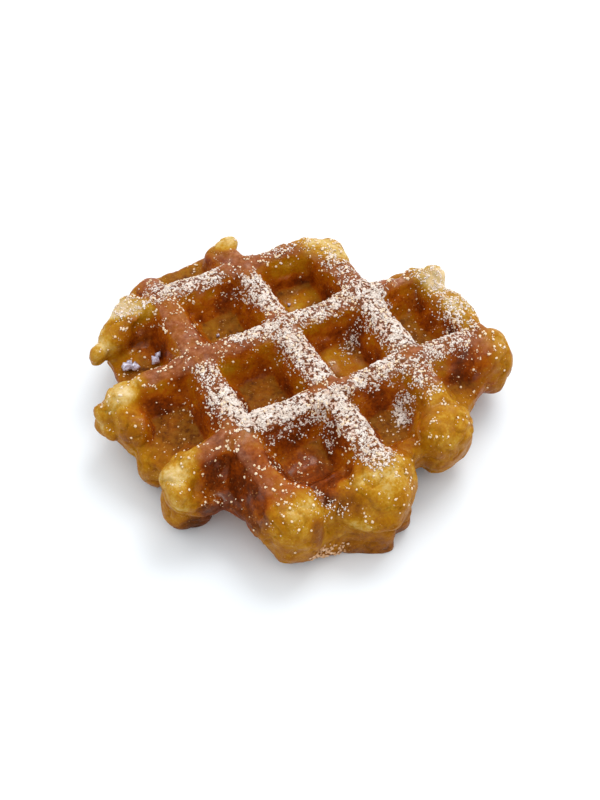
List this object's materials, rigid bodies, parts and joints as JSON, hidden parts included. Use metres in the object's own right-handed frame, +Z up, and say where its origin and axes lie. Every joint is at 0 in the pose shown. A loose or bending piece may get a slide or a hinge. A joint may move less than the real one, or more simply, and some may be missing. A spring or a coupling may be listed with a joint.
{
  "type": "liege waffle",
  "caption": "Thick yeast-dough waffle with deep square pockets on both faces, bulging uneven lobes round its edge and a flat resting underside.",
  "frame": {"origin": "centre of the bounding box's underside, on the surface that the waffle rests on", "axes": "+Z up through the thickness, X and Y along the two families of ridges"},
  "size_m": [0.1104, 0.1048, 0.0246],
  "materials": {
    "baked_dough": "baked dough crust, satin, glossy where sugar has caramelised"
  },
  "bodies": {
    "root": {"waffle": "baked_dough"}
  },
  "joints": []
}
